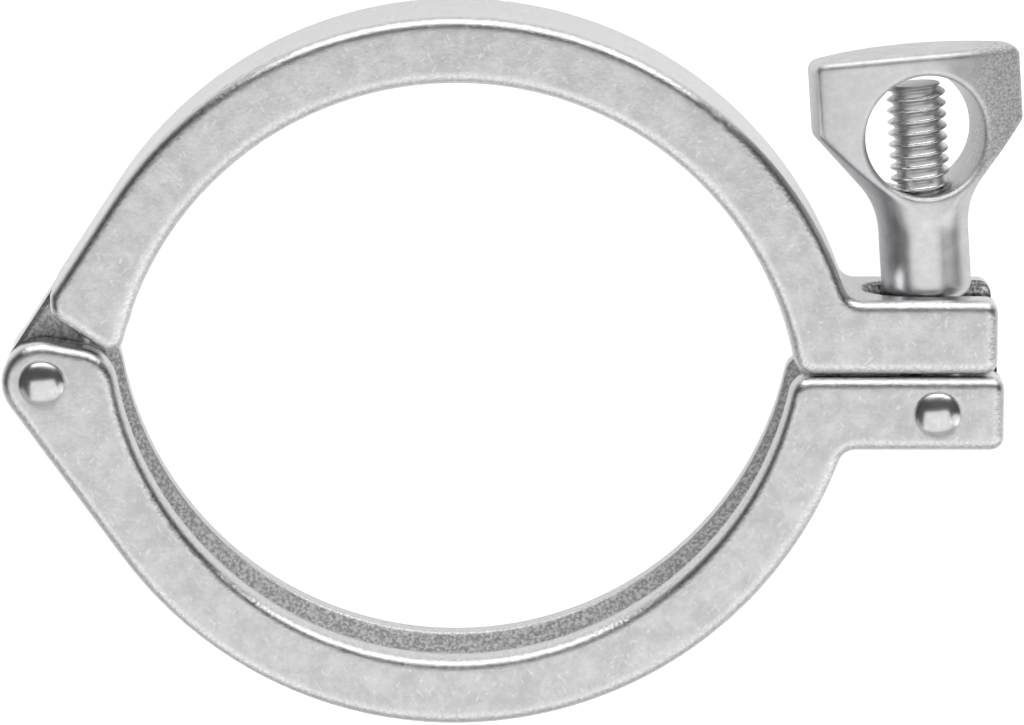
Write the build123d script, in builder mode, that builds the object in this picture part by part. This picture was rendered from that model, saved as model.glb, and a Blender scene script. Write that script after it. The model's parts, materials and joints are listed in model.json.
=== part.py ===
"""Sanitary hinged clamp: two cast halves, two pins, a swing bolt and a wing nut.

The ring axis is Z. The clamp lies on the back heads of its pins, so Z = 0 is the
lowest point of those heads. The halves part along the plane Y = 0, with the hinge
at -X and the swing bolt at +X. All sizes are in millimetres.
"""
from build123d import *
import os
from math import acos, asin, cos, degrees, radians, sin, sqrt, tan

os.makedirs("parts", exist_ok=True)

# ---- Driving dimensions -----------------------------------------------------------

# Ring section, the same in both halves
lip_radius = 42.5  # bore of the two lips that grip the ferrules
wall = 8.3  # from the lip bore to the outer surface
width = 19.0  # along the ring axis
edge_radius = 1.4  # rounding of the outline on both side faces
groove_mouth = 11.0  # width between the lips
groove_depth = 5.3
flank_angle = 20.0  # taper of the ferrule seats
groove_root_radius = 0.8

# Pins
pin_radius = 2.4
pin_seat_clearance = 0.02  # in the ears and prongs that hold the pins
pin_running_clearance = 0.08  # in the tongue and in the bolt's eye
head_overhang = 0.38  # of a pin head around its hole
head_height = 1.3
head_rim = 0.35  # straight side of a pin head under its dome

# Swing bolt
bolt_lean = 3.9  # degrees towards the ring
bolt_radius = 3.7
bolt_end_clearance = 1.6  # from the bolt's end to the top of the finger hole
bolt_chamfer = 0.7
eye_wall = 2.2
shank_clearance = 0.7  # each side of the shank in the forks
thread_clearance = 0.08

# Hinge end
ear_wall = 2.7  # round the pin
flange_clearance = 3.9  # from the lip bore to the hinge boss, for the ferrules' rims
hinge_drop = 0.9  # hinge axis below the split plane
upper_close_angle = 5.7  # the upper ring centre swings this far below the hinge level
lower_close_angle = 8.25  # the lower ring centre stands this far above it
tongue_clearance = 0.5  # around the tongue's round end
block_inset = 1.1  # left face of the upper block, from the hinge axis towards the ring
block_relief = 7.7  # lower edge of the upper block, from the hinge axis
block_slope = 33.5  # lower edge of the upper block, down towards the ring
ear_slope = 10.0  # top of the lower ears, down towards the ring
ear_shoulder_radius = 5.0

# Lugs
split_gap = 0.3
lug_thickness = 9.3
bolt_offset = 8.9  # swing bolt axis outside the ring's outer surface
upper_lug_reach = 7.4  # lug end beyond the bolt axis
lower_lug_reach = 8.3
lug_corner_radius = 1.6
lug_root_radius = 2.2  # where a lug runs into the ring outside
lug_mouth_radius = 2.6  # where a lug runs into the ring inside
side_clearance = 0.25  # each side of the tongue and of the bolt's eye
slot_reach = 8.0  # closed end of the lug slots, from the bolt axis towards the ring
seat_width = 1.2  # sloping seat for the nut, each side of the upper slot
seat_angle = 53.0  # slope of that seat

# Wing nut, measured along its own axis from its lower end
nut_turn = 10.0  # degrees, how the tightened nut happens to stand
nut_clearance = 0.15  # between the tightened nut and its seat
nut_height = 31.5
neck_overlap = 1.2  # how far the neck reaches over each prong
neck_end_radius = 2.0
wing_radius = 13.15
wing_blend_radius = 9.5
wing_crown = 0.6
wing_root_margin = 0.15  # the flats' middle stands this far outside the neck
wing_tip_thickness = 4.8
wing_edge_radius = 0.9
wing_corner_radius = 1.3
finger_hole_radius = 7.6
wing_bridge = 2.8  # above the finger hole
wing_knee_rise = 0.65  # above the finger hole's centre
wing_root_drop = 8.9  # from that centre to where the wings' slant would meet the neck
finger_rim = 0.5
bore_chamfer = 0.4

# ---- Derived positions ------------------------------------------------------------

outer_radius = lip_radius + wall
groove_radius = lip_radius + groove_depth
ear_radius = pin_radius + ear_wall
eye_radius = pin_radius + pin_running_clearance + eye_wall
head_radius = pin_radius + head_overhang
hinge_reach = lip_radius + flange_clearance + ear_radius
fork_gap = 2 * (bolt_radius + shank_clearance)  # in both lugs, and between the hinge ears
neck_radius = fork_gap / 2 + neck_overlap
finger_hole_height = nut_height - wing_bridge - finger_hole_radius
wing_knee_height = finger_hole_height + wing_knee_rise
neck_height = finger_hole_height - wing_root_drop
mid_z = head_height + width / 2
back_plane = Plane.XY.offset(head_height)
fork_plane = Plane.XY.offset(mid_z - fork_gap / 2)
tongue_width = fork_gap - 2 * side_clearance
upper_split = split_gap / 2
lower_split = -split_gap / 2
lug_top = upper_split + lug_thickness
lug_bottom = lower_split - lug_thickness
through = 2 * width  # longer than any hole or slot


def polar(centre, radius, angle):
    """The point at an angle in degrees on a circle."""
    return (centre[0] + radius * cos(radians(angle)), centre[1] + radius * sin(radians(angle)))


def circle_x(centre, radius, y, side):
    """The X where a circle crosses a height, on its right (1) or left (-1) side."""
    return centre[0] + side * sqrt(radius**2 - (y - centre[1]) ** 2)


def cap_mid(half_width, rise):
    """The middle of one side of a shallow round cap: its X, and its drop below the crown."""
    radius = (half_width**2 + rise**2) / (2 * rise)
    half_sweep = asin(half_width / radius) / 2
    return radius * sin(half_sweep), radius * (1 - cos(half_sweep))


def line_meets_circle(point, angle, centre, radius):
    """The first point where a ray at an angle in degrees enters a circle."""
    dx, dy = cos(radians(angle)), sin(radians(angle))
    along = (centre[0] - point[0]) * dx + (centre[1] - point[1]) * dy
    off = (centre[0] - point[0]) * dy - (centre[1] - point[1]) * dx
    reach = along - sqrt(radius**2 - off**2)
    return (point[0] + reach * dx, point[1] + reach * dy)


# The nut's rounded end sinks between the slot's sloping sides until it touches them.
seat_slope = radians(seat_angle)
seat_depth = seat_width * tan(seat_slope)
seat_side = fork_gap / 2 + seat_width - (neck_radius - neck_end_radius)
seat_sink = neck_end_radius + (seat_side * sin(seat_slope) - neck_end_radius) / cos(seat_slope)
nut_seat_height = split_gap + 1.5 * lug_thickness - seat_sink + nut_clearance
bolt_length = nut_seat_height + nut_height - wing_bridge - bolt_end_clearance  # from the pin axis

# The origin is midway between the hinge ears and the tip of the wing nut.
wing_tip_side = wing_radius * cos(radians(nut_turn)) + wing_tip_thickness / 2 * sin(radians(nut_turn))
wing_tip_height = nut_seat_height + wing_knee_height
wing_tip_reach = wing_tip_side * cos(radians(bolt_lean)) - wing_tip_height * sin(radians(bolt_lean))
centre_reach = hinge_reach * (cos(radians(upper_close_angle)) + cos(radians(lower_close_angle))) / 2
bolt_reach = centre_reach + outer_radius + bolt_offset
hinge_x = -(ear_radius + bolt_reach + wing_tip_reach) / 2 + ear_radius
hinge = (hinge_x, -hinge_drop)
bolt_pivot = (hinge_x + bolt_reach, (lower_split + lug_bottom) / 2)
upper_centre = polar(hinge, hinge_reach, -upper_close_angle)
lower_centre = polar(hinge, hinge_reach, lower_close_angle)

# A straight run leaves each ring tangentially and ends tangentially on the hinge boss.
run_angle = degrees(acos((outer_radius - ear_radius) / hinge_reach))
upper_run = 180 - upper_close_angle - run_angle
lower_run = 180 + lower_close_angle + run_angle

slot_end = bolt_pivot[0] - slot_reach
slot_centre = slot_end + fork_gap / 2

bolt_plane = Plane(
    origin=(*bolt_pivot, mid_z),
    x_dir=(cos(radians(bolt_lean)), sin(radians(bolt_lean)), 0),
    z_dir=(-sin(radians(bolt_lean)), cos(radians(bolt_lean)), 0),
)
nut_side = bolt_plane.x_dir * cos(radians(nut_turn)) + bolt_plane.y_dir * sin(radians(nut_turn))
nut_plane = Plane(bolt_plane.origin, nut_side, bolt_plane.z_dir).offset(nut_seat_height)
wing_plane = Plane(origin=nut_plane.origin, x_dir=nut_plane.x_dir, z_dir=-nut_plane.y_dir)


def groove_plane(centre):
    """A radial plane of a ring, with X outwards and Y along the ring axis."""
    return Plane(origin=(*centre, mid_z), x_dir=(1, 0, 0), z_dir=(0, -1, 0))


# The V groove between the lips: both flanks taper by the ferrule angle.
with BuildSketch() as groove_profile:
    flank_taper = tan(radians(flank_angle))
    groove_start = lip_radius - 2.0  # inside the bore, clear of the lips
    mouth_side = groove_mouth / 2 + (lip_radius - groove_start) * flank_taper
    root_side = groove_mouth / 2 - groove_depth * flank_taper
    with BuildLine():
        FilletPolyline(
            (groove_start, -mouth_side),
            (groove_radius, -root_side),
            (groove_radius, root_side),
            (groove_start, mouth_side),
            radius=groove_root_radius,
        )
        Line((groove_start, mouth_side), (groove_start, -mouth_side))
    make_face()

# The round-ended slot of a lug, open at the lug's end.
with BuildSketch() as fork_slot:
    with Locations((slot_centre, 0)):
        Circle(fork_gap / 2)
        Rectangle(through, fork_gap, align=(Align.MIN, Align.CENTER))

slot_plane = Plane(origin=(0, 0, mid_z), x_dir=(1, 0, 0), z_dir=(0, -1, 0))

# ---- Upper half: ring half, hinge block with its tongue, and slotted lug ------------

run_normal = (cos(radians(upper_run)), sin(radians(upper_run)))
block_x = hinge_x + block_inset
block_top = (block_x, hinge[1] + (ear_radius - run_normal[0] * block_inset) / run_normal[1])
relief_angle = 90 - block_slope
block_foot = (
    block_x,
    hinge[1] + (block_relief - cos(radians(relief_angle)) * block_inset) / sin(radians(relief_angle)),
)
block_toe = line_meets_circle(block_foot, -block_slope, upper_centre, lip_radius)
upper_mouth = (circle_x(upper_centre, lip_radius, upper_split, 1), upper_split)
upper_root = (circle_x(upper_centre, outer_radius, lug_top, 1), lug_top)
upper_end = bolt_pivot[0] + upper_lug_reach

with BuildPart() as upper_half:
    with BuildSketch(back_plane) as upper_outline:
        with BuildLine():
            Polyline(upper_mouth, (upper_end, upper_split), (upper_end, lug_top), upper_root)
            run_start = polar(upper_centre, outer_radius, upper_run)
            ThreePointArc(upper_root, polar(upper_centre, outer_radius, 90), run_start)
            Polyline(run_start, block_top, block_foot, block_toe)
            ThreePointArc(block_toe, polar(upper_centre, lip_radius, 90), upper_mouth)
        make_face()
        corners = upper_outline.vertices()
        fillet(corners.sort_by_distance(upper_mouth)[0], lug_mouth_radius)
        fillet(upper_outline.vertices().sort_by_distance(upper_root)[0], lug_root_radius)
        for corner in ((upper_end, upper_split), (upper_end, lug_top), block_foot, block_toe):
            fillet(upper_outline.vertices().sort_by_distance(corner)[0], lug_corner_radius)
    extrude(amount=width)
    side_faces = upper_half.faces().filter_by(Axis.Z)
    fillet(side_faces.edges(), edge_radius)

    with BuildSketch(groove_plane(upper_centre)):
        add(groove_profile.sketch)
    revolve(axis=Axis((*upper_centre, 0), (0, 0, 1)), mode=Mode.SUBTRACT)

    # The slot lets the bolt swing in, and its sloping mouth seats the nut.
    with BuildSketch(slot_plane):
        add(fork_slot.sketch)
    extrude(amount=through, both=True, mode=Mode.SUBTRACT)
    with BuildSketch(slot_plane.offset(-lug_top)) as slot_mouth:
        add(fork_slot.sketch)
        offset(amount=seat_width, kind=Kind.ARC)
    extrude(amount=seat_depth, taper=90 - seat_angle, mode=Mode.SUBTRACT)

    # The tongue hangs from the block and turns between the lower half's ears.
    with BuildSketch(Plane.XY.offset(mid_z - tongue_width / 2)):
        with BuildLine():
            boss_start = polar(hinge, ear_radius, upper_run)
            tongue_side = hinge_x + ear_radius
            run_level = hinge[1] + (ear_radius * (1 - run_normal[0])) / run_normal[1]
            Line(boss_start, (tongue_side, run_level))
            Line((tongue_side, run_level), (tongue_side, hinge[1]))
            ThreePointArc((tongue_side, hinge[1]), polar(hinge, ear_radius, 270), boss_start)
        make_face()
    extrude(amount=tongue_width)
    with Locations((*hinge, mid_z)):
        Cylinder(pin_radius + pin_running_clearance, through, mode=Mode.SUBTRACT)

upper_half.part.label = "upper_half"
export_step(upper_half.part, "parts/upper_half.step")

# ---- Lower half: ring half, forked hinge ears, and forked lug ------------------------

ear_top = polar(hinge, ear_radius, 90 - ear_slope)
ear_toe = line_meets_circle(ear_top, -ear_slope, lower_centre, lip_radius)
lower_mouth = (circle_x(lower_centre, lip_radius, lower_split, 1), lower_split)
lower_root = (circle_x(lower_centre, outer_radius, lug_bottom, 1), lug_bottom)
lower_end = bolt_pivot[0] + lower_lug_reach

with BuildPart() as lower_half:
    with BuildSketch(back_plane) as lower_outline:
        with BuildLine():
            Polyline(lower_mouth, (lower_end, lower_split), (lower_end, lug_bottom), lower_root)
            run_start = polar(lower_centre, outer_radius, lower_run)
            run_stop = polar(hinge, ear_radius, lower_run)
            ThreePointArc(lower_root, polar(lower_centre, outer_radius, 270), run_start)
            Line(run_start, run_stop)
            ThreePointArc(run_stop, polar(hinge, ear_radius, 150), ear_top)
            Line(ear_top, ear_toe)
            ThreePointArc(ear_toe, polar(lower_centre, lip_radius, 270), lower_mouth)
        make_face()
        fillet(lower_outline.vertices().sort_by_distance(lower_mouth)[0], lug_mouth_radius)
        fillet(lower_outline.vertices().sort_by_distance(lower_root)[0], lug_root_radius)
        fillet(lower_outline.vertices().sort_by_distance(ear_toe)[0], ear_shoulder_radius)
        for corner in ((lower_end, lower_split), (lower_end, lug_bottom)):
            fillet(lower_outline.vertices().sort_by_distance(corner)[0], lug_corner_radius)
    extrude(amount=width)
    side_faces = lower_half.faces().filter_by(Axis.Z)
    fillet(side_faces.edges(), edge_radius)

    with BuildSketch(groove_plane(lower_centre)):
        add(groove_profile.sketch)
    revolve(axis=Axis((*lower_centre, 0), (0, 0, 1)), mode=Mode.SUBTRACT)

    # The lug fork holds the bolt's eye.
    with BuildSketch(slot_plane):
        add(fork_slot.sketch)
    extrude(amount=through, both=True, mode=Mode.SUBTRACT)

    # The hinge fork is cut round, so that the tongue's end can turn in it.
    with BuildSketch(fork_plane):
        with Locations(hinge):
            Circle(ear_radius + tongue_clearance)
            Rectangle(
                2 * (ear_radius + tongue_clearance),
                through,
                align=(Align.CENTER, Align.MIN),
            )
    extrude(amount=fork_gap, mode=Mode.SUBTRACT)

    with Locations((*hinge, mid_z), (*bolt_pivot, mid_z)):
        Cylinder(pin_radius + pin_seat_clearance, through, mode=Mode.SUBTRACT)

lower_half.part.label = "lower_half"
export_step(lower_half.part, "parts/lower_half.step")

# ---- Pins: round rivets with a domed head at each end --------------------------------

head_face = width / 2
head_crown = head_face + head_height
dome_x, dome_drop = cap_mid(head_radius, head_height - head_rim)

for pin_name, pin_place in (("hinge_pin", hinge), ("bolt_pin", bolt_pivot)):
    with BuildPart() as pin:
        with BuildSketch(Plane(origin=(*pin_place, mid_z), x_dir=(1, 0, 0), z_dir=(0, -1, 0))):
            with BuildLine():
                front = Polyline(
                    (pin_radius, 0),
                    (pin_radius, head_face),
                    (head_radius, head_face),
                    (head_radius, head_face + head_rim),
                )
                ThreePointArc(front @ 1, (dome_x, head_crown - dome_drop), (0, head_crown))
                mirror(about=Plane.XZ)
                Line((0, head_crown), (0, -head_crown))
            make_face()
        revolve(axis=Axis((*pin_place, mid_z), (0, 0, 1)))
    pin.part.label = pin_name
    export_step(pin.part, f"parts/{pin_name}.step")

# ---- Swing bolt: a round eye on the bolt pin, and a straight shank --------------------

with BuildPart() as swing_bolt:
    with BuildSketch(Plane.XY.offset(mid_z - tongue_width / 2)):
        with Locations(bolt_pivot):
            Circle(eye_radius)
    extrude(amount=tongue_width)
    with BuildSketch(bolt_plane):
        Circle(bolt_radius)
    extrude(amount=bolt_length)
    end_face = swing_bolt.faces().sort_by(Axis(bolt_plane.origin, bolt_plane.z_dir))[-1]
    chamfer(end_face.edges(), bolt_chamfer)
    with Locations((*bolt_pivot, mid_z)):
        Cylinder(pin_radius + pin_running_clearance, through, mode=Mode.SUBTRACT)

swing_bolt.part.label = "swing_bolt"
export_step(swing_bolt.part, "parts/swing_bolt.step")

# ---- Wing nut: a turned blank with two crowned flats and a finger hole -----------------

nut_axis = Axis(nut_plane.origin, nut_plane.z_dir)
nut_front = Axis(nut_plane.origin, nut_plane.y_dir)

with BuildPart() as wing_nut:
    with BuildSketch(wing_plane) as blank_profile:
        with BuildLine():
            shoulder = (wing_radius, nut_height - wing_crown)
            FilletPolyline(
                (0, 0),
                (neck_radius, 0),
                (neck_radius, neck_height),
                (wing_radius, wing_knee_height),
                shoulder,
                radius=(neck_end_radius, wing_blend_radius, wing_corner_radius),
            )
            crown_x, crown_drop = cap_mid(wing_radius, wing_crown)
            ThreePointArc(shoulder, (crown_x, nut_height - crown_drop), (0, nut_height))
            Line((0, nut_height), (0, 0))
        make_face()
        fillet(blank_profile.vertices().sort_by_distance(shoulder)[0], wing_corner_radius)
    revolve(axis=nut_axis)
    with BuildSketch(nut_plane):
        with BuildLine():
            tip = wing_tip_thickness / 2
            root = neck_radius + wing_root_margin
            ThreePointArc((-wing_radius, tip), (0, root), (wing_radius, tip))
            Line((wing_radius, tip), (wing_radius, -tip))
            ThreePointArc((wing_radius, -tip), (0, -root), (-wing_radius, -tip))
            Line((-wing_radius, -tip), (-wing_radius, tip))
        make_face()
    extrude(amount=2 * nut_height, mode=Mode.INTERSECT)
    flats = wing_nut.faces().sort_by(nut_front)
    fillet(flats[0].edges() + flats[-1].edges(), wing_edge_radius)
    with BuildSketch(wing_plane):
        with Locations((0, finger_hole_height)):
            Circle(finger_hole_radius)
    extrude(amount=through, both=True, mode=Mode.SUBTRACT)
    rims = wing_nut.edges(Select.LAST).sort_by(nut_front)
    fillet([rims[0], rims[-1]], finger_rim)
    with BuildSketch(nut_plane):
        Circle(bolt_radius + thread_clearance)
    extrude(amount=finger_hole_height, mode=Mode.SUBTRACT)
    mouths = wing_nut.edges(Select.LAST).sort_by(nut_axis)
    chamfer(mouths[0], bore_chamfer)

wing_nut.part.label = "wing_nut"
export_step(wing_nut.part, "parts/wing_nut.step")
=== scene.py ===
import json
import bpy, bmesh
from math import cos, pi, radians, sin, sqrt
from mathutils import Matrix, Vector


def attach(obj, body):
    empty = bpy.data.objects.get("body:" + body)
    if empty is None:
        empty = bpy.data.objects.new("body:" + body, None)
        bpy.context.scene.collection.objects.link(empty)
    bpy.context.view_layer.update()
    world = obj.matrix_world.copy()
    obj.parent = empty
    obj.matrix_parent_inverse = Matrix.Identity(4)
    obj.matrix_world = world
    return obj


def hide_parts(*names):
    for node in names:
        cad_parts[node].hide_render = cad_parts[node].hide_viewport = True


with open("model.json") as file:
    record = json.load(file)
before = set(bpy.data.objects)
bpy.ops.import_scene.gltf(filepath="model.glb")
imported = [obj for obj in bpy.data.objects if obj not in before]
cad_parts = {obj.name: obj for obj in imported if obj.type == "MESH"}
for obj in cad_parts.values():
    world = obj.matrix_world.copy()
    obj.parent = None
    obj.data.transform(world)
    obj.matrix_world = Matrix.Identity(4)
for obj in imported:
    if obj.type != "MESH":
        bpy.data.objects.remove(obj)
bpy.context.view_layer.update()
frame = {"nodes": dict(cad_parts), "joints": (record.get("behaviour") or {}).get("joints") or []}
mm = 0.001


# ---- Lower half ------------------------------------------------------------------------
# An investment-cast stainless half ring with a ferrule groove, two hinge ears and a
# slotted lug. It is tumbled after casting, which leaves the faces satin with a faint
# mottle and rubs the rounded edges bright, but doesn't reach the groove. The slot and the flats
# inside the hinge are coloured near-black as painted shade.

ring_height = 10.8 * mm
lip_bore = 42.5 * mm
groove_root = 47.8 * mm
groove_half_width = 5.6 * mm
slot_half_width = 5.5 * mm
slot_start = 50.8 * mm
hinge_half_width = 4.7 * mm
hinge_start = -43.0 * mm
cast_rounding = 1.4 * mm

cast_dark = (0.56, 0.56, 0.565, 1)
cast_light = (0.74, 0.74, 0.75, 1)
scratch_colour = (0.86, 0.86, 0.87, 1)
rubbed_dark = (0.64, 0.64, 0.65, 1)
rubbed_light = (0.78, 0.78, 0.79, 1)
groove_dark = (0.46, 0.46, 0.465, 1)
groove_light = (0.94, 0.94, 0.95, 1)
# The two slot colours are painted shade for the slot and the flats inside the hinge.
slot_shade_dark = (0.05, 0.05, 0.05, 1)
slot_shade_light = (0.36, 0.36, 0.365, 1)
satin_rough = 0.36


def feed(tree, value, socket):
    """Links a socket into an input, or sets the input to a plain value."""
    if isinstance(value, bpy.types.NodeSocket):
        tree.links.new(value, socket)
    else:
        socket.default_value = value


def math_node(tree, operation, *values):
    """A Math node whose inputs are sockets or numbers; returns its output."""
    node = tree.nodes.new("ShaderNodeMath")
    node.operation = operation
    for place, value in enumerate(values):
        feed(tree, value, node.inputs[place])
    return node.outputs[0]


def product(tree, first, *others):
    """All the factors multiplied together."""
    for other in others:
        first = math_node(tree, "MULTIPLY", first, other)
    return first


def total(tree, first, *others):
    """All the terms added up."""
    for other in others:
        first = math_node(tree, "ADD", first, other)
    return first


def length_of(tree, first, second):
    """The length of a vector with these two parts at right angles."""
    squares = [product(tree, part, part) for part in (first, second)]
    return math_node(tree, "SQRT", total(tree, *squares))


def split(tree, vector):
    """The X, Y and Z of a vector socket."""
    node = tree.nodes.new("ShaderNodeSeparateXYZ")
    tree.links.new(vector, node.inputs[0])
    return node.outputs["X"], node.outputs["Y"], node.outputs["Z"]


def smooth_step(tree, value, low, high):
    """A Map Range node that eases from 0 at low to 1 at high."""
    node = tree.nodes.new("ShaderNodeMapRange")
    node.interpolation_type = "SMOOTHSTEP"
    node.inputs["From Min"].default_value = low
    node.inputs["From Max"].default_value = high
    tree.links.new(value, node.inputs["Value"])
    return node.outputs["Result"]


def noise(tree, vector, per_metre, detail, rough):
    """A Noise Texture node, whose scale is its features per metre."""
    node = tree.nodes.new("ShaderNodeTexNoise")
    node.inputs["Scale"].default_value = per_metre
    node.inputs["Detail"].default_value = detail
    node.inputs["Roughness"].default_value = rough
    tree.links.new(vector, node.inputs["Vector"])
    return node.outputs["Fac"]


def blend_colour(tree, mask, first, second):
    """A Mix node on colours: the first where the mask is 0, the second where it is 1."""
    node = tree.nodes.new("ShaderNodeMix")
    node.data_type = "RGBA"
    tree.links.new(mask, node.inputs["Factor"])
    colour_inputs = {socket.name: socket for socket in node.inputs if socket.type == "RGBA"}
    feed(tree, first, colour_inputs["A"])
    feed(tree, second, colour_inputs["B"])
    return [socket for socket in node.outputs if socket.type == "RGBA"][0]


def group_socket(group, name, kind, direction, value=None):
    """Adds a named input or output to a node group."""
    socket = group.interface.new_socket(name=name, in_out=direction, socket_type=kind)
    if value is not None:
        socket.default_value = value


# Tumbling marks: soft mottle, fine grain, and short bright scratches that run two ways.
tumbled = bpy.data.node_groups.new("tumbled marks", "ShaderNodeTree")
group_socket(tumbled, "Vector", "NodeSocketVector", "INPUT")
group_socket(tumbled, "Grain Scale", "NodeSocketFloat", "INPUT", 1.0)
for output in ("Mottle", "Grain", "Scratches"):
    group_socket(tumbled, output, "NodeSocketFloat", "OUTPUT")
marks_in = tumbled.nodes.new("NodeGroupInput")
marks_out = tumbled.nodes.new("NodeGroupOutput")
scaled = tumbled.nodes.new("ShaderNodeVectorMath")
scaled.operation = "SCALE"
tumbled.links.new(marks_in.outputs["Vector"], scaled.inputs[0])
tumbled.links.new(marks_in.outputs["Grain Scale"], scaled.inputs["Scale"])
mottling = noise(tumbled, scaled.outputs[0], per_metre=380, detail=5, rough=0.72)
tumbled.links.new(mottling, marks_out.inputs["Mottle"])
graining = noise(tumbled, scaled.outputs[0], per_metre=2300, detail=3, rough=0.65)
tumbled.links.new(graining, marks_out.inputs["Grain"])
scratch_sets = []
for turn, scratch_size in (
    (0.5, (0.4 * mm, 1.6 * mm, 0.4 * mm)),
    (-0.7, (0.5 * mm, 1.3 * mm, 0.5 * mm)),
):
    drawn_out = tumbled.nodes.new("ShaderNodeMapping")
    drawn_out.vector_type = "TEXTURE"
    drawn_out.inputs["Rotation"].default_value = (0, 0, turn)
    drawn_out.inputs["Scale"].default_value = scratch_size
    tumbled.links.new(scaled.outputs[0], drawn_out.inputs["Vector"])
    streaks = noise(tumbled, drawn_out.outputs[0], per_metre=1.0, detail=1, rough=0.5)
    scratch_sets.append(smooth_step(tumbled, streaks, 0.65, 0.76))
tumbled.links.new(math_node(tumbled, "MAXIMUM", *scratch_sets), marks_out.inputs["Scratches"])


def place_marks(tree, place, grain_scale):
    """The tumbling marks in a material; returns their Mottle, Grain and Scratches."""
    node = tree.nodes.new("ShaderNodeGroup")
    node.node_tree = tumbled
    tree.links.new(place, node.inputs["Vector"])
    node.inputs["Grain Scale"].default_value = grain_scale
    return node.outputs["Mottle"], node.outputs["Grain"], node.outputs["Scratches"]


def steel(name):
    """A new metal material; returns it with its node tree, shader and Object coordinates."""
    material = bpy.data.materials.new(name)
    material.use_nodes = True
    tree = material.node_tree
    shader = tree.nodes["Principled BSDF"]
    shader.inputs["Metallic"].default_value = 1.0
    place = tree.nodes.new("ShaderNodeTexCoord")
    return material, tree, shader, place.outputs["Object"]


def rolled_normal(tree, rounding):
    """Normals that roll off within the rounding of every edge."""
    rolled = tree.nodes.new("ShaderNodeBevel")
    rolled.samples = 6
    rolled.inputs["Radius"].default_value = rounding
    return rolled.outputs["Normal"]


def add_bump(tree, shader, height, strength, distance, normal):
    """Surface grain, over the rolled-off normals."""
    bump = tree.nodes.new("ShaderNodeBump")
    bump.inputs["Strength"].default_value = strength
    bump.inputs["Distance"].default_value = distance
    tree.links.new(height, bump.inputs["Height"])
    tree.links.new(normal, bump.inputs["Normal"])
    tree.links.new(bump.outputs["Normal"], shader.inputs["Normal"])


def cast_steel(name, ring_centre):
    """Tumbled casting: satin faces, bright rounded edges, a dull grainy groove, and painted shade
    in the slot and the hinge.
    """
    material, tree, shader, place = steel(name)
    mottle, grain, scratches = place_marks(tree, place, grain_scale=1.0)

    # The groove lies between the lips, at the ring's own radius.
    centred = tree.nodes.new("ShaderNodeMapping")
    centred.inputs["Location"].default_value = (-ring_centre[0], -ring_centre[1], -ring_height)
    tree.links.new(place, centred.inputs["Vector"])
    x, y, z = split(tree, centred.outputs[0])
    radius = length_of(tree, x, y)
    height = math_node(tree, "ABSOLUTE", z)
    outside_bore = smooth_step(tree, radius, lip_bore + 0.05 * mm, lip_bore + 0.35 * mm)
    inside_root = smooth_step(tree, radius, groove_root + 0.5 * mm, groove_root + 0.2 * mm)
    between = smooth_step(tree, height, groove_half_width + 0.3 * mm, groove_half_width)
    groove = product(tree, outside_bore, inside_root, between)

    # The rounded edges, but not those in the groove, are rubbed bright.
    rolled = rolled_normal(tree, cast_rounding)
    _, normal_y, normal_z = split(tree, rolled)
    flatness = math_node(tree, "ABSOLUTE", normal_z)
    off_face = smooth_step(tree, flatness, 0.9995, 0.985)
    edge = product(tree, off_face, math_node(tree, "SUBTRACT", 1.0, groove))

    # The slot with its sloping seat and the flats inside the hinge get painted shade: a near-black
    # grainy colour where they lie in shadow.
    in_slot = product(
        tree,
        smooth_step(tree, height, slot_half_width + 0.4 * mm, slot_half_width),
        smooth_step(tree, x, slot_start - 0.4 * mm, slot_start),
    )
    off_lug_top = smooth_step(tree, math_node(tree, "ABSOLUTE", normal_y), 0.97, 0.93)
    in_hinge = product(
        tree,
        smooth_step(tree, height, hinge_half_width + 0.3 * mm, hinge_half_width),
        smooth_step(tree, x, hinge_start, hinge_start - 1.0 * mm),
    )
    hinge_flat = smooth_step(tree, flatness, 0.85, 0.95)
    painted_slot_shade = product(tree, in_slot, off_lug_top)
    painted_hinge_shade = product(tree, in_hinge, hinge_flat, 0.7)
    painted_recess_shade = math_node(tree, "MAXIMUM", painted_slot_shade, painted_hinge_shade)

    cloudy = smooth_step(tree, mottle, 0.30, 0.72)
    speckled = smooth_step(tree, grain, 0.36, 0.64)
    colour = blend_colour(tree, cloudy, cast_dark, cast_light)
    colour = blend_colour(tree, product(tree, scratches, 0.55), colour, scratch_colour)
    # The last area is painted shade, in the slot and between the hinge parts.
    for area, dark, light in (
        (edge, rubbed_dark, rubbed_light),
        (groove, groove_dark, groove_light),
        (painted_recess_shade, slot_shade_dark, slot_shade_light),
    ):
        colour = blend_colour(tree, area, colour, blend_colour(tree, speckled, dark, light))
    tree.links.new(colour, shader.inputs["Base Color"])

    # Edges are polished, and the groove is rough and dull.
    rough = total(
        tree, satin_rough, product(tree, mottle, 0.10), product(tree, edge, -0.26),
        product(tree, groove, 0.38),
    )
    tree.links.new(rough, shader.inputs["Roughness"])
    metallic = math_node(tree, "SUBTRACT", 1.0, product(tree, groove, 0.75))
    tree.links.new(metallic, shader.inputs["Metallic"])
    pitted = total(tree, grain, product(tree, mottle, 0.5))
    add_bump(tree, shader, pitted, strength=0.7, distance=0.07 * mm, normal=rolled)
    return material


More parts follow.
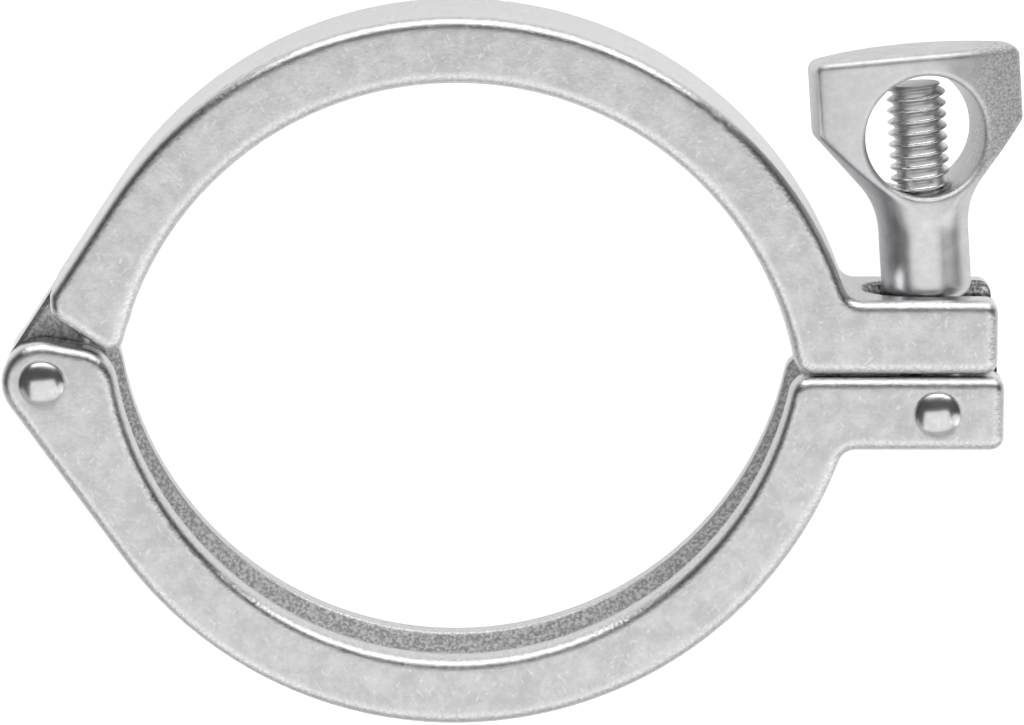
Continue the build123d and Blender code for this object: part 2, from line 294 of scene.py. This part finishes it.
def clean_skin(node, name, material, body):
    """A CAD node's skin joined up, so that its rounds shade smooth and its faces flat."""
    form = bmesh.new()
    form.from_mesh(frame["nodes"][node].data)
    bmesh.ops.remove_doubles(form, verts=form.verts, dist=0.001 * mm)
    for face in form.faces:
        face.smooth = True
        face.material_index = 0
    skin = bpy.data.meshes.new(name)
    form.to_mesh(skin)
    form.free()
    if "custom_normal" in skin.attributes:
        skin.attributes.remove(skin.attributes["custom_normal"])
    skin.set_sharp_from_angle(angle=radians(32))
    skin.materials.append(material)
    piece = bpy.data.objects.new(name, skin)
    bpy.context.scene.collection.objects.link(piece)
    even = piece.modifiers.new("even shading", "WEIGHTED_NORMAL")
    even.keep_sharp = True
    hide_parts(node)
    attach(piece, body)


lower_steel = cast_steel("cast steel lower half", ring_centre=(-7.370 * mm, 6.490 * mm))
clean_skin("lower_half", "cast_lower_half", lower_steel, "lower_body")


# ---- Upper half ------------------------------------------------------------------------
# The matching casting: a half ring with a block and tongue for the hinge, and the slotted
# lug that the nut presses on. Its finish is the same, about its own ring centre.

upper_steel = cast_steel("cast steel upper half", ring_centre=(-7.092 * mm, -6.015 * mm))
clean_skin("upper_half", "cast_upper_half", upper_steel, "upper_body")


# ---- Hinge pin and bolt pin --------------------------------------------------------------
# Two stainless rivets, set from both sides, so that each end is a low polished dome. They
# hold the hinge and the swing bolt's eye.

pin_dark = (0.62, 0.62, 0.63, 1)
pin_light = (0.72, 0.72, 0.73, 1)
polished_rough = 0.16
pin_steel, pin_tree, pin_shader, pin_place = steel("polished pin steel")
pin_mottle, pin_grain, _ = place_marks(pin_tree, pin_place, grain_scale=1.4)
pin_cloudy = smooth_step(pin_tree, pin_mottle, 0.35, 0.7)
pin_skin = blend_colour(pin_tree, pin_cloudy, pin_dark, pin_light)
pin_tree.links.new(pin_skin, pin_shader.inputs["Base Color"])
pin_rough = total(pin_tree, polished_rough, product(pin_tree, pin_mottle, 0.12))
pin_tree.links.new(pin_rough, pin_shader.inputs["Roughness"])
pin_rolled = rolled_normal(pin_tree, 0.1 * mm)
add_bump(pin_tree, pin_shader, pin_grain, strength=0.15, distance=0.03 * mm, normal=pin_rolled)
for pin_name in ("hinge_pin", "bolt_pin"):
    clean_skin(pin_name, "riveted_" + pin_name, pin_steel, "lower_body")


# ---- Swing bolt --------------------------------------------------------------------------
# A stainless eye bolt that swings on the bolt pin. Its thread is rolled, right-handed, 18
# to the inch, and runs from the plain shank above the eye to the chamfered end.

bolt_joint = [j for j in frame["joints"] if j["name"] == "bolt_swing"][0]
bolt_pivot = Vector(bolt_joint["pos_m"])
bolt_lean = radians(3.9)
bolt_radius = 3.7 * mm
bolt_length = 40.17 * mm
bolt_chamfer = 0.7 * mm
eye_radius = 4.68 * mm
eye_bore = 2.48 * mm
eye_width = 8.3 * mm
thread_pitch = 1.41 * mm
thread_depth = 0.86 * mm
thread_start = 8.0 * mm
root_radius = bolt_radius - thread_depth
steps_per_turn = 48

# The bolt is made upright, with its pin along Y, and then laid over with its lean.
# The thread: one pitch of its profile, swept round and up in a single screw motion.
thread = bmesh.new()
rising_flank = ((0.0, 0.0), (0.09, 0.06), (0.19, 0.30), (0.33, 0.80), (0.42, 0.96))
falling_flank = tuple((1.0 - along, rise) for along, rise in reversed(rising_flank))
thread_profile = rising_flank + ((0.5, 1.0),) + falling_flank
turns = int((bolt_length - thread_start) / thread_pitch) + 3
thread_verts = [
    thread.verts.new(
        (root_radius + rise * thread_depth, 0, thread_start + (along - 1) * thread_pitch)
    )
    for along, rise in thread_profile
]
thread_edges = [thread.edges.new(pair) for pair in zip(thread_verts, thread_verts[1:])]
bmesh.ops.spin(
    thread, geom=thread_verts + thread_edges, cent=(0, 0, 0), axis=(0, 0, 1),
    dvec=(0, 0, thread_pitch / steps_per_turn), angle=2 * pi * turns, steps=steps_per_turn * turns,
    use_merge=False, use_duplicate=False,
)
bmesh.ops.remove_doubles(thread, verts=thread.verts, dist=0.002 * mm)

# It is cut square at both ends, closed, and turned down to a cone at the free end.
for height, side in ((thread_start, -1), (bolt_length, 1)):
    bmesh.ops.bisect_plane(
        thread, geom=thread.verts[:] + thread.edges[:] + thread.faces[:], plane_co=(0, 0, height),
        plane_no=(0, 0, side), clear_outer=True,
    )
bmesh.ops.holes_fill(thread, edges=[e for e in thread.edges if e.is_boundary], sides=0)
for vert in thread.verts:
    cone = bolt_radius - bolt_chamfer + (bolt_length - vert.co.z)
    reach = sqrt(vert.co.x**2 + vert.co.y**2)
    if reach > cone:
        vert.co.x *= cone / reach
        vert.co.y *= cone / reach
bmesh.ops.recalc_face_normals(thread, faces=thread.faces)
bolt_mesh = bpy.data.meshes.new("swing bolt")
thread.to_mesh(bolt_mesh)
thread.free()

# The eye: a rectangle beside the pin axis, spun round it.
bolt = bmesh.new()
eye_corners = [
    bolt.verts.new((reach, side * eye_width / 2, 0))
    for reach, side in ((eye_bore, -1), (eye_radius, -1), (eye_radius, 1), (eye_bore, 1))
]
eye_loop = [bolt.edges.new((eye_corners[i - 1], eye_corners[i])) for i in range(4)]
bmesh.ops.spin(
    bolt, geom=eye_corners + eye_loop, cent=(0, 0, 0), axis=(0, 1, 0), angle=2 * pi, steps=64,
    use_merge=True, use_duplicate=False,
)
bmesh.ops.recalc_face_normals(bolt, faces=bolt.faces)
square_corner = radians(70)
eye_rims = [e for e in bolt.edges if e.calc_face_angle(0) > square_corner]
bmesh.ops.bevel(
    bolt, geom=eye_rims, offset=0.25 * mm, offset_type="OFFSET", affect="EDGES", segments=2,
    profile=0.5, material=-1,
)

# The plain shank runs from inside the eye's wall to the first turn.
shank_middle = 5.6 * mm
shank_length = 5.6 * mm
bmesh.ops.create_cone(
    bolt, cap_ends=True, segments=64, radius1=bolt_radius, radius2=bolt_radius,
    depth=shank_length, matrix=Matrix.Translation((0, 0, shank_middle)),
)
shank_rim = [e for e in bolt.edges if all(v.co.z > thread_start for v in e.verts)]
bmesh.ops.bevel(
    bolt, geom=shank_rim, offset=0.5 * mm, offset_type="OFFSET", affect="EDGES", segments=2,
    profile=0.5, material=-1,
)
bolt.from_mesh(bolt_mesh)
along_bolt = Vector((-sin(bolt_lean), cos(bolt_lean), 0))
along_pin = Vector((0, 0, 1))
laid_over = Matrix((along_pin.cross(along_bolt), along_pin, along_bolt)).transposed().to_4x4()
bmesh.ops.transform(bolt, matrix=Matrix.Translation(bolt_pivot) @ laid_over, verts=bolt.verts)
for face in bolt.faces:
    face.smooth = True
bolt.to_mesh(bolt_mesh)
bolt.free()
bolt_mesh.set_sharp_from_angle(angle=radians(40))
swing_bolt = bpy.data.objects.new("threaded_swing_bolt", bolt_mesh)
bpy.context.scene.collection.objects.link(swing_bolt)

# The crests and the shank are rubbed brighter and smoother than the roots.
root_colour = (0.74, 0.74, 0.74, 1)
crest_dark = (0.66, 0.66, 0.66, 1)
crest_light = (0.84, 0.84, 0.85, 1)
root_rough = 0.36
bolt_steel, bolt_tree, bolt_shader, bolt_place = steel("rolled bolt steel")
bolt_mottle, bolt_grain, _ = place_marks(bolt_tree, bolt_place, grain_scale=1.6)
upright = bolt_tree.nodes.new("ShaderNodeMapping")
upright.vector_type = "TEXTURE"
upright.inputs["Location"].default_value = bolt_pivot
upright.inputs["Rotation"].default_value = (0, 0, bolt_lean)
bolt_tree.links.new(bolt_place, upright.inputs["Vector"])
bolt_x, bolt_y, bolt_z = split(bolt_tree, upright.outputs[0])
from_axis = length_of(bolt_tree, bolt_x, bolt_z)
crest = smooth_step(bolt_tree, from_axis, root_radius + 0.05 * mm, bolt_radius - 0.15 * mm)
plain = smooth_step(bolt_tree, bolt_y, thread_start + 0.3 * mm, thread_start - 0.3 * mm)
bright = math_node(bolt_tree, "MAXIMUM", crest, plain)
bolt_cloudy = smooth_step(bolt_tree, bolt_mottle, 0.35, 0.68)
worn = blend_colour(bolt_tree, bolt_cloudy, crest_dark, crest_light)
bolt_skin = blend_colour(bolt_tree, bright, root_colour, worn)
bolt_tree.links.new(bolt_skin, bolt_shader.inputs["Base Color"])
bolt_rough = total(bolt_tree, root_rough, product(bolt_tree, bright, -0.14))
bolt_tree.links.new(bolt_rough, bolt_shader.inputs["Roughness"])
bolt_rolled = rolled_normal(bolt_tree, 0.1 * mm)
add_bump(bolt_tree, bolt_shader, bolt_grain, strength=0.3, distance=0.04 * mm, normal=bolt_rolled)
bolt_mesh.materials.append(bolt_steel)
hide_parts("swing_bolt")
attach(swing_bolt, "bolt_body")


# ---- Wing nut ----------------------------------------------------------------------------
# A cast stainless nut: a round tapped neck that flares into two flat wings with a finger
# hole between them. It is tumbled smooth. One wing has a coarser speckled skin, and its
# darker colour is painted shade of that wing's tilt.

nut_dark = (0.62, 0.62, 0.63, 1)
nut_light = (0.73, 0.73, 0.74, 1)
# The coarse colours are a real coarse speckle, darker on the whole as painted shade of the tilted
# wing.
shaded_coarse_dark = (0.42, 0.42, 0.43, 1)
shaded_coarse_light = (0.80, 0.80, 0.81, 1)
smooth_rough = 0.30
nut_rounding = 0.9 * mm
wing_root = 54.5 * mm
wing_middle = 60.0 * mm
neck_flare = 21.0 * mm
neck_round = 17.0 * mm
nut_steel, nut_tree, nut_shader, nut_place = steel("tumbled nut steel")
nut_mottle, nut_grain, _ = place_marks(nut_tree, nut_place, grain_scale=1.3)
nut_x, nut_y, _ = split(nut_tree, nut_place)
shaded_coarse_wing = smooth_step(nut_tree, nut_x, wing_root, wing_middle)
neck = smooth_step(nut_tree, nut_y, neck_flare, neck_round)

# Where the rounding turns the normals away, the metal is an edge and is polished.
nut_rolled = rolled_normal(nut_tree, nut_rounding)
as_made = nut_tree.nodes.new("ShaderNodeNewGeometry")
turned = nut_tree.nodes.new("ShaderNodeVectorMath")
turned.operation = "DOT_PRODUCT"
nut_tree.links.new(nut_rolled, turned.inputs[0])
nut_tree.links.new(as_made.outputs["Normal"], turned.inputs[1])
nut_edge = smooth_step(nut_tree, turned.outputs["Value"], 0.995, 0.93)

nut_cloudy = smooth_step(nut_tree, nut_mottle, 0.35, 0.68)
nut_speckled = smooth_step(nut_tree, nut_grain, 0.36, 0.64)
smooth_skin = blend_colour(nut_tree, nut_cloudy, nut_dark, nut_light)
shaded_coarse_skin = blend_colour(nut_tree, nut_speckled, shaded_coarse_dark, shaded_coarse_light)
# Painted shade: the right wing is coloured darker, with a coarse speckle.
nut_skin = blend_colour(nut_tree, product(nut_tree, shaded_coarse_wing, 0.8), smooth_skin, shaded_coarse_skin)
nut_tree.links.new(nut_skin, nut_shader.inputs["Base Color"])
nut_rough = total(
    nut_tree, smooth_rough, product(nut_tree, nut_mottle, 0.14),
    product(nut_tree, shaded_coarse_wing, 0.20), product(nut_tree, nut_edge, -0.20),
    product(nut_tree, neck, -0.06),
)
nut_tree.links.new(nut_rough, nut_shader.inputs["Roughness"])
add_bump(nut_tree, nut_shader, nut_grain, strength=0.3, distance=0.04 * mm, normal=nut_rolled)
clean_skin("wing_nut", "cast_wing_nut", nut_steel, "nut_body")


# ---- Floor -------------------------------------------------------------------------------
# A plain white table under the clamp. It shows white to the camera, reflects less
# brightly in the steel, and keeps the clamp's soft shadow.

table_colour = (0.70, 0.70, 0.70, 1)
table_lift = 0.82
lift_in_steel = 0.60
clamp_half_length = 66 * mm
clamp_half_width = 47 * mm
lift_full, lift_gone = 1.4, 2.2

floor_form = bmesh.new()
bmesh.ops.create_grid(floor_form, x_segments=1, y_segments=1, size=3.0)
floor_mesh = bpy.data.meshes.new("floor")
floor_form.to_mesh(floor_mesh)
floor_form.free()
floor = bpy.data.objects.new("floor", floor_mesh)
bpy.context.scene.collection.objects.link(floor)
white_table = bpy.data.materials.new("white table")
white_table.use_nodes = True
table_tree = white_table.node_tree
table_tree.nodes.remove(table_tree.nodes["Principled BSDF"])
matt = table_tree.nodes.new("ShaderNodeBsdfDiffuse")
matt.inputs["Color"].default_value = table_colour
lift = table_tree.nodes.new("ShaderNodeEmission")
lift.inputs["Color"].default_value = (1, 1, 1, 1)

# In the steel only the table near the clamp is lifted, in an oval of the clamp's sizes.
table_place = table_tree.nodes.new("ShaderNodeTexCoord")
in_clamp_sizes = table_tree.nodes.new("ShaderNodeVectorMath")
in_clamp_sizes.operation = "MULTIPLY"
in_clamp_sizes.inputs[1].default_value = (1 / clamp_half_length, 1 / clamp_half_width, 0)
table_tree.links.new(table_place.outputs["Object"], in_clamp_sizes.inputs[0])
away = table_tree.nodes.new("ShaderNodeVectorMath")
away.operation = "LENGTH"
table_tree.links.new(in_clamp_sizes.outputs[0], away.inputs[0])
near = smooth_step(table_tree, away.outputs["Value"], lift_gone, lift_full)
ray = table_tree.nodes.new("ShaderNodeLightPath")
in_steel = product(table_tree, ray.outputs["Is Glossy Ray"], near, lift_in_steel)
seen = math_node(table_tree, "MAXIMUM", ray.outputs["Is Camera Ray"], in_steel)
table_tree.links.new(product(table_tree, seen, table_lift), lift.inputs["Strength"])
both = table_tree.nodes.new("ShaderNodeAddShader")
table_tree.links.new(matt.outputs[0], both.inputs[0])
table_tree.links.new(lift.outputs[0], both.inputs[1])
table_tree.links.new(both.outputs[0], table_tree.nodes["Material Output"].inputs["Surface"])
floor_mesh.materials.append(white_table)


# ---- Light -------------------------------------------------------------------------------
# A large soft lamp in front, a long low one behind, and a small fill on the right. Between
# them the room is dim, which draws the dark and bright lines on the rounded edges.

def soft_lamp(name, place, aim, width, depth, power):
    """A rectangular area lamp, aimed at a point."""
    data = bpy.data.lights.new(name, "AREA")
    data.shape = "RECTANGLE"
    data.size = width
    data.size_y = depth
    data.energy = power
    lamp = bpy.data.objects.new(name, data)
    lamp.location = place
    lamp.rotation_euler = (Vector(aim) - Vector(place)).to_track_quat("-Z", "Y").to_euler()
    bpy.context.scene.collection.objects.link(lamp)


soft_lamp("main lamp", (0.05, -0.50, 0.97), (0, 0, 0), width=1.9, depth=1.5, power=9.3)
soft_lamp("back strip lamp", (0.05, 1.05, 0.40), (0, 0.03, 0), width=1.7, depth=0.62, power=9.2)
soft_lamp("right fill lamp", (1.25, -0.50, 0.55), (0, 0, 0), width=0.7, depth=0.9, power=1.9)

# The room is dim, brighter low down in front, and white to the camera.
dim_room = 0.09
bright_front = 0.50
room = bpy.data.worlds.new("room")
bpy.context.scene.world = room
room.use_nodes = True
room_tree = room.node_tree
room_light = room_tree.nodes["Background"]
room_light.inputs["Color"].default_value = (1, 1, 1, 1)
room_way = room_tree.nodes.new("ShaderNodeTexCoord")
_, way_y, way_z = split(room_tree, room_way.outputs["Generated"])
front = smooth_step(room_tree, way_y, -0.22, -0.45)
below_lamp = smooth_step(room_tree, way_z, 0.50, 0.36)
room_tone = total(room_tree, dim_room, product(room_tree, front, below_lamp, bright_front))
room_ray = room_tree.nodes.new("ShaderNodeLightPath")
room_tone = math_node(room_tree, "MAXIMUM", room_tone, room_ray.outputs["Is Camera Ray"])
room_tree.links.new(room_tone, room_light.inputs["Strength"])


# ---- Camera ------------------------------------------------------------------------------
# It looks down on the table through a long lens, and leans a little towards the upper
# half's side.

camera_tilt = radians(11)
camera_distance = 0.8
look_at = Vector((-0.0002, 0.0, 0.0108))
camera_data = bpy.data.cameras.new("camera")
camera_data.sensor_width = 36
camera_data.lens = 225
camera = bpy.data.objects.new("camera", camera_data)
back = Vector((0, sin(camera_tilt), cos(camera_tilt)))
camera.location = look_at + back * camera_distance
camera.rotation_euler = (-camera_tilt, 0, 0)
bpy.context.scene.collection.objects.link(camera)
bpy.context.scene.camera = camera
bpy.context.scene.view_settings.view_transform = "Standard"
